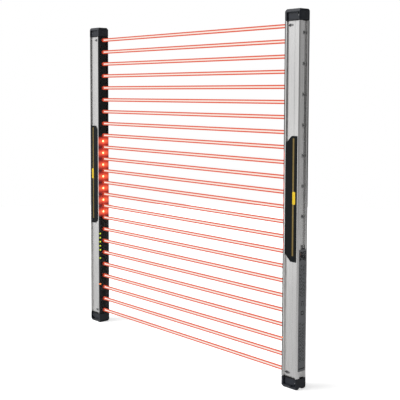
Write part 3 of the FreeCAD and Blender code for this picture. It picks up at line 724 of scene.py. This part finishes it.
def crown_depth(y, lift):
    """Depth of the crowned rear face in mm: flat near the middle, then an arc.

    The depth is centre + sqrt((radius + lift)^2 - past^2), where past is how far |y| is
    beyond the flat.
    """
    past = np.clip(abs(y) - CROWN_FLAT, 0.0, None)
    return CROWN_CENTRE + np.sqrt((CROWN_RADIUS + lift) ** 2 - past ** 2)


def label_marks(name, marks, material):
    """Slabs on the crown, from rows of y0, y1, z0, z1 in mm.

    Round each slab go five points over its face and five back under it. Its four stations
    along z are z0, z0, z1, z1, and the first and last lie wholly on the under side, so the
    ends close.
    """
    marks = np.asarray(marks)
    t = np.linspace(0, 1, FACE_POINTS)
    t = np.concatenate([t, t[::-1]])
    y = (marks[:, 0, None] + (marks[:, 1] - marks[:, 0])[:, None] * t)[:, :, None]
    face = np.concatenate([np.ones(FACE_POINTS), np.zeros(FACE_POINTS)])
    lift = INK_LOW + (INK_HIGH - INK_LOW) * face[:, None] * END_SHARES
    z = marks[:, None, [2, 2, 3, 3]]
    points = np.stack(np.broadcast_arrays(right_face + crown_depth(y, lift) * MM, y * MM,
                                          z * MM), axis=-1)
    made = grid_object(name, points, material)
    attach(made, "root")
    return made


print("crown at the middle, mm:", float(crown_depth(0.0, 0.0)))

# %% [markdown]
# ## What is printed on it
# A seeded random generator fills the code field and sets the length of each dash, so the
# label comes out the same each time. The signs are plain outlines made of bars.

# %% Label fields
CODE_CELLS, CODE_SIZE, CODE_LOW, CODE_FILL, CELL_INK = 9, 12.6, 172.6, 0.62, 0.96
DASH_SHORTEST, DASH_LONGEST, DASH_TRIES = 0.6, 3.2, 80
DASH_GAP, DASH_KEPT = 0.3, 0.3
PRINT_WIDTH = 0.75


def dashes(chance, y_rows, low, high):
    """Dashes of uneven length and gap along each row, as rows of y0, y1, z0, z1."""
    rows = []
    for y in y_rows:
        ends = low + np.cumsum(chance.uniform(DASH_SHORTEST, DASH_LONGEST, size=DASH_TRIES))
        ends = ends[ends < high]
        starts, stops = ends[0:-1:2], ends[1::2]
        n = min(len(starts), len(stops))
        rows.append(np.stack([np.full(n, y - PRINT_WIDTH / 2), np.full(n, y + PRINT_WIDTH / 2),
                              starts[:n], stops[:n] - DASH_GAP], axis=-1))
    rows = np.concatenate(rows)
    return rows[rows[:, 3] - rows[:, 2] > DASH_KEPT]


chance = np.random.default_rng(11)
cell = CODE_SIZE / CODE_CELLS
filled = np.argwhere(chance.random((CODE_CELLS, CODE_CELLS)) < CODE_FILL)
code = np.stack([start + cell * (filled[:, axis] + share)
                 for axis, start in ((0, -CODE_SIZE / 2), (1, CODE_LOW))
                 for share in (0.0, CELL_INK)], axis=-1)
fine_print = np.concatenate([
    dashes(chance, (-5.2, -3.7, -2.2, 0.4, 1.9, 4.6), 124.0, 168.0),
    dashes(chance, (-5.4, -3.9, -2.4, -0.2, 1.3, 3.6), 36.0, 92.0)])
signs = np.array([
    [-2.2, 2.2, 118.0, 118.9], [-2.2, -1.4, 113.0, 117.0], [1.4, 2.2, 113.0, 117.0],
    [-2.6, 2.6, 105.0, 106.0], [-2.6, 2.6, 100.6, 101.6], [-2.6, -1.6, 101.6, 105.0],
    [1.6, 2.6, 101.6, 105.0], [-5.8, 5.6, 28.0, 29.2]])
for name, marks in (("receiver_label_code", code), ("receiver_label_print", fine_print),
                    ("receiver_label_signs", signs)):
    label_marks(name, marks, ink)
    print(name, len(marks))

# %% [markdown]
# ## Floor
# A plain pale floor keeps the shadow of the columns. The camera, and rays that come through
# clear plastic, see it lifted towards white. Glossy rays see only a tenth of the lift, so the
# metal isn't washed out, and all other rays see none of it, so it adds no light.

# %% Floor
WHITE = (1.0, 1.0, 1.0, 1.0)
FLOOR_COLOUR = (0.80, 0.80, 0.80, 1.0)
GLOSSY_LIFT = 0.10
LIFT_NEAR, LIFT_FAR = 0.66, 1.1
RISE_START, RISE_END = 0.6, 1.5
FLOOR_RINGS = (1.7, 0.9, 0.0)
FLOOR_SIDES = 96


def seen_share(tree):
    """1 for camera and transmission rays, a smaller share for glossy rays, 0 for the rest."""
    path = add(tree, "LightPath")
    share = calc(tree, "MULTIPLY", path.outputs["Is Glossy Ray"], GLOSSY_LIFT)
    for ray in ("Is Camera Ray", "Is Transmission Ray"):
        share = calc(tree, "MAXIMUM", share, path.outputs[ray])
    return share


def pale_floor(name):
    """A diffuse floor that camera and transmission rays see lifted to white.

    The lift grows with the distance from the middle, so the rim is as white as the world.
    """
    material, tree = empty_material(name)
    far = add(tree, "VectorMath", {0: object_place(tree)}, operation="LENGTH")
    rise = span(tree, far.outputs["Value"], RISE_START, RISE_END, LIFT_NEAR, LIFT_FAR)
    diffuse = add(tree, "BsdfDiffuse", {"Color": FLOOR_COLOUR})
    white = add(tree, "Emission", {"Color": WHITE,
                                   "Strength": calc(tree, "MULTIPLY", seen_share(tree), rise)})
    total = add(tree, "AddShader", {0: diffuse.outputs[0], 1: white.outputs[0]})
    add(tree, "OutputMaterial", {"Surface": total.outputs[0]})
    return material


turns, radii = np.meshgrid(np.linspace(0, 2 * pi, FLOOR_SIDES, endpoint=False), FLOOR_RINGS,
                           indexing="ij")
floor_points = np.stack([radii * np.cos(turns), radii * np.sin(turns), 0 * radii], axis=-1)
floor = grid_object("floor", floor_points[None], pale_floor("pale_floor"), smooth=False,
                    closed=False)
print("floor faces up:", all(face.normal.z > 0 for face in floor.data.polygons))

# %% [markdown]
# ## World
# Metal shows what stands round it, so the world is a simple room: a grey that changes from
# one side to the other, with a darker patch behind the columns. The camera and rays through
# clear plastic see plain white instead.

# %% World
ROOM_STRENGTH = 0.9
ROOM_AXIS = (-0.72, -0.69, 0.0)
ROOM_GREYS = ((0.0, 0.50), (0.06, 0.46), (0.19, 0.17), (0.48, 0.06), (0.62, 0.10), (0.84, 1.0))
PATCH_AXIS = (-0.26, 0.966, 0.0)
PATCH_START, PATCH_END, PATCH_DEPTH = 0.66, 0.86, 0.85


def facing(tree, direction, low, high):
    """0 to 1 as the cosine between a ray and a direction goes from low to high."""
    looked_at = add(tree, "TexCoord").outputs["Generated"]
    dot = add(tree, "VectorMath", {0: looked_at, 1: direction}, operation="DOT_PRODUCT")
    return span(tree, dot.outputs["Value"], low, high)


def studio(tree):
    """The room for most rays, colour = grey (1 - depth patch), and white for those that see."""
    grey = ramp(tree, facing(tree, ROOM_AXIS, -1.0, 1.0),
                [(position, (value,) * 3) for position, value in ROOM_GREYS])
    patch = facing(tree, PATCH_AXIS, PATCH_START, PATCH_END)
    shade = calc(tree, "MULTIPLY_ADD", patch, -PATCH_DEPTH, 1.0)
    darker = add(tree, "VectorMath", {0: grey, "Scale": shade}, operation="SCALE")
    room = add(tree, "Background", {"Color": darker.outputs[0], "Strength": ROOM_STRENGTH})
    wall = add(tree, "Background", {"Color": WHITE, "Strength": 1.0})
    path = add(tree, "LightPath")
    seen = calc(tree, "MAXIMUM", path.outputs["Is Camera Ray"],
                path.outputs["Is Transmission Ray"])
    mix = add(tree, "MixShader", {0: seen, 1: room.outputs[0], 2: wall.outputs[0]})
    add(tree, "OutputWorld", {"Surface": mix.outputs[0]})


world = bpy.data.worlds.new("studio")
bpy.context.scene.world = world
world.use_nodes = True
world.node_tree.nodes.clear()
studio(world.node_tree)
print("world nodes:", len(world.node_tree.nodes))

# %% [markdown]
# ## Soft lamps
# Big square lamps give soft shadows and long even reflections. The key lamp does nearly all
# of the work, and two weak ones lift what it leaves dark.

# %% Soft lamps
def softbox(name, location, target, size, power):
    """A square area lamp whose own -z looks from its location at a target."""
    data = bpy.data.lights.new(name, "AREA")
    data.shape = "SQUARE"
    data.size = size
    data.energy = power
    lamp = bpy.data.objects.new(name, data)
    lamp.location = location
    direction = np.array(target) - np.array(location)
    flat = np.hypot(direction[0], direction[1])
    lamp.rotation_euler = (np.arctan2(flat, -direction[2]), 0.0,
                           np.arctan2(direction[1], direction[0]) - pi / 2)
    bpy.context.scene.collection.objects.link(lamp)
    return lamp


for lamp in (softbox("key", (-1.3, -2.2, 2.5), (0.0, -0.2, 0.1), size=2.2, power=84.0),
             softbox("fill", (1.2, -2.5, 1.1), (0.0, 0.0, 0.25), size=1.4, power=6.0),
             softbox("top", (-0.4, -0.4, 3.2), (0.0, 0.0, 0.0), size=2.0, power=6.0)):
    print(lamp.name, "lamp:", lamp.data.energy, "W")
